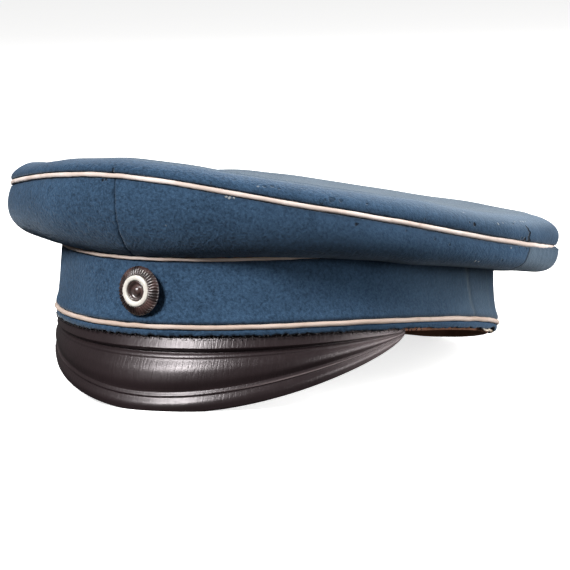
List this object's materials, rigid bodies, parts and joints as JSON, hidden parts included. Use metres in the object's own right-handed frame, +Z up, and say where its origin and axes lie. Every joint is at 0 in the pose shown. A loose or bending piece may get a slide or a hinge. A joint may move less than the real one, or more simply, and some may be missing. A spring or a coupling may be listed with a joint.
{
  "type": "peaked field cap",
  "caption": "Peaked cap of blue wool cloth with a wide soft crown, cream pipings, a black leather peak and a round cockade.",
  "frame": {"origin": "bottom centre of the cap's box, on the surface on which the cap rests", "axes": "+Z up, -Y towards the front (the peak), +X towards the wearer's left; the cap rests on its peak and the rear of its sweatband"},
  "size_m": [0.2238, 0.2268, 0.0955],
  "materials": {
    "cloth": "fulled wool cloth, matt, slightly fuzzy, steel blue",
    "piping_cord": "cream cloth-covered cord, a little soiled",
    "peak_leather": "black polished leather with fine creases",
    "sweat_leather": "brown leather, worn",
    "black_lacquer": "black lacquer, worn on the flutes",
    "white_lacquer": "white lacquer, semi-gloss",
    "pin_metal": "plain steel wire"
  },
  "bodies": {
    "root": {"crown_top": "cloth", "side_panel_front_left": "cloth", "side_panel_rear_left": "cloth", "side_panel_rear_right": "cloth", "side_panel_front_right": "cloth", "crown_piping": "piping_cord", "cockade_rim": "black_lacquer", "cockade_ring": "white_lacquer", "cockade_centre": "black_lacquer", "cockade_pin": "pin_metal", "band": "cloth", "band_piping_upper": "piping_cord", "band_piping_lower": "piping_cord", "band_hem": "cloth", "sweatband": "sweat_leather", "peak": "peak_leather"}
  },
  "joints": []
}
